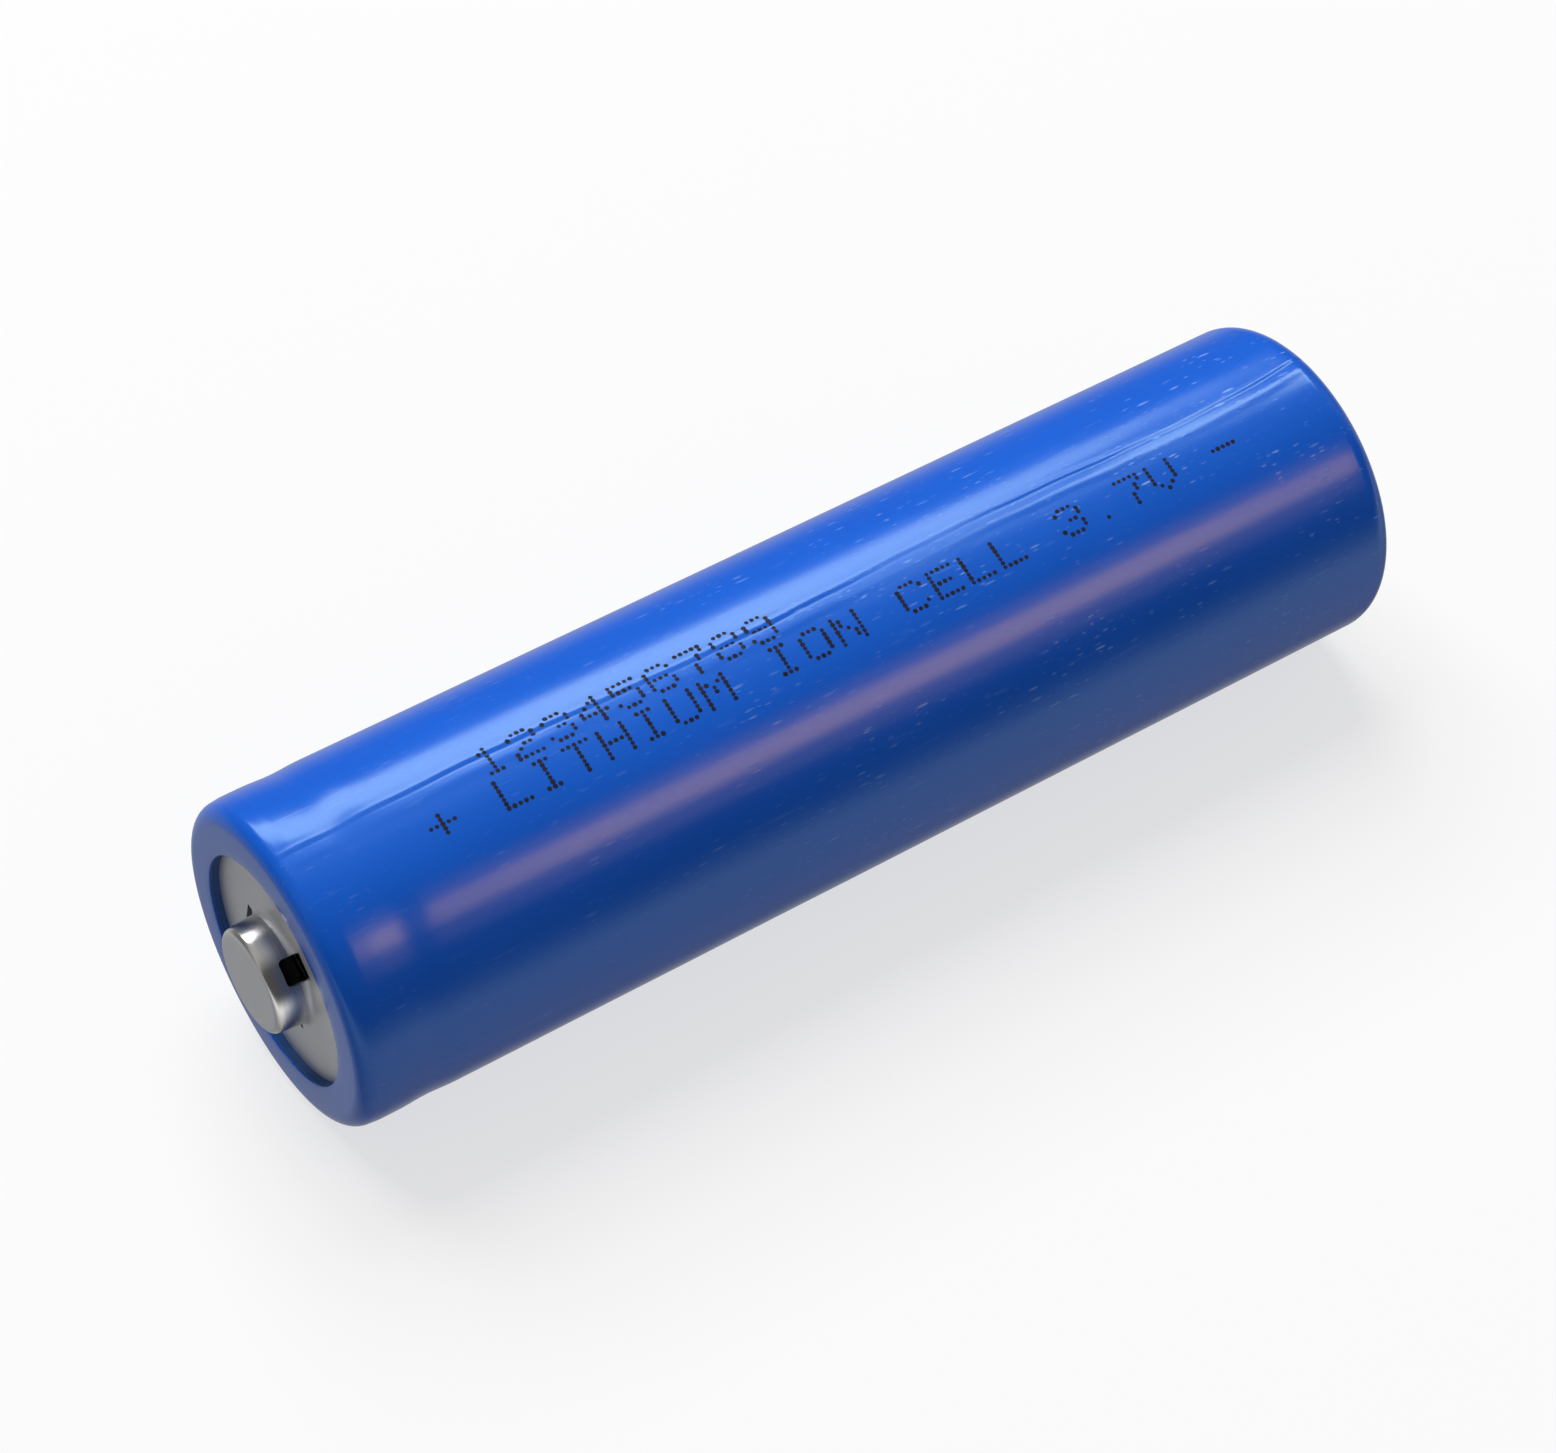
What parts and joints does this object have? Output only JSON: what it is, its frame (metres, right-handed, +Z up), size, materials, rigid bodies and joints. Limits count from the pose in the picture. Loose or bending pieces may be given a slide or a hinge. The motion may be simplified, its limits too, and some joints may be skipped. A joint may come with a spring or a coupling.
{
  "type": "cylindrical battery cell",
  "caption": "Button-top cylindrical lithium-ion cell: sleeved steel can, vented positive cap, crimped safety stack and wound electrodes.",
  "frame": {"origin": "centre of the negative terminal face, the bare bottom of the can, on the cell's axis", "axes": "+X along the cell's axis towards the positive button; the cell lies on its side with +Z up"},
  "size_m": [0.067, 0.0182, 0.0182],
  "materials": {
    "sleeve_blue": "glossy blue shrink film",
    "gasket_blue": "dark blue polypropylene",
    "washer_blue": "insulating ring",
    "nickel_plated_steel": "satin nickel plating",
    "cap_nickel": "satin nickel plating, button wall burnished",
    "aluminium_sheet": "plain rolled sheet",
    "ptc_compound": "metal-faced polymer ring",
    "insulator_white": "plain",
    "cathode_coating": "oxide coating on aluminium foil",
    "anode_coating": "graphite coating on copper foil",
    "separator_film": "microporous polyolefin",
    "tape_amber": "adhesive tape"
  },
  "bodies": {
    "root": {"pvc_sleeve": "sleeve_blue", "insulating_washer": "washer_blue", "can": "nickel_plated_steel", "positive_cap": "cap_nickel", "ptc_ring": "ptc_compound", "vent_disc": "aluminium_sheet", "cid_insulator": "insulator_white", "cid_plate": "aluminium_sheet", "sealing_gasket": "gasket_blue", "separator_inner": "separator_film", "cathode_sheet": "cathode_coating", "separator_outer": "separator_film", "anode_sheet": "anode_coating", "closing_tape": "tape_amber", "centre_pin": "nickel_plated_steel", "cathode_tab": "aluminium_sheet", "tab_tape": "tape_amber", "top_insulator": "insulator_white", "anode_tab": "nickel_plated_steel", "bottom_insulator": "insulator_white"}
  },
  "joints": []
}
